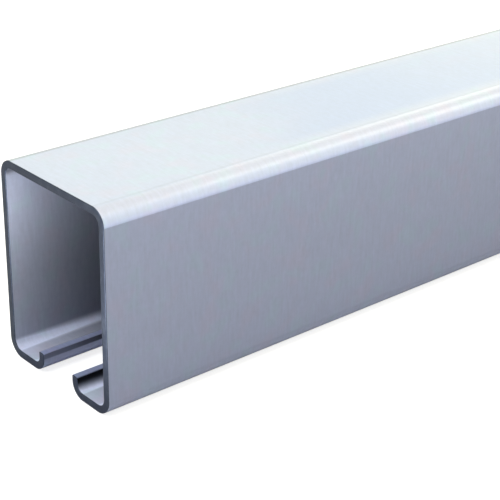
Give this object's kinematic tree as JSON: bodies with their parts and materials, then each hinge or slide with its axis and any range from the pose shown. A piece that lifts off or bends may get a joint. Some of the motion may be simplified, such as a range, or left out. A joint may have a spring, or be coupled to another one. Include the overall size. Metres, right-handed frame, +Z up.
{
  "type": "sliding door track",
  "caption": "Straight box-section steel top track with a slot and two upturned lips underneath, in which a sliding door's hangers roll.",
  "frame": {"origin": "middle of the track's length and width, on the plane of the two flanges' undersides", "axes": "+X along the track, +Y across it, +Z up to the closed top; the slot opens towards -Z"},
  "size_m": [1, 0.048, 0.06],
  "materials": {
    "galvanised_steel": "satin"
  },
  "bodies": {
    "root": {"box_track": "galvanised_steel"}
  },
  "joints": []
}
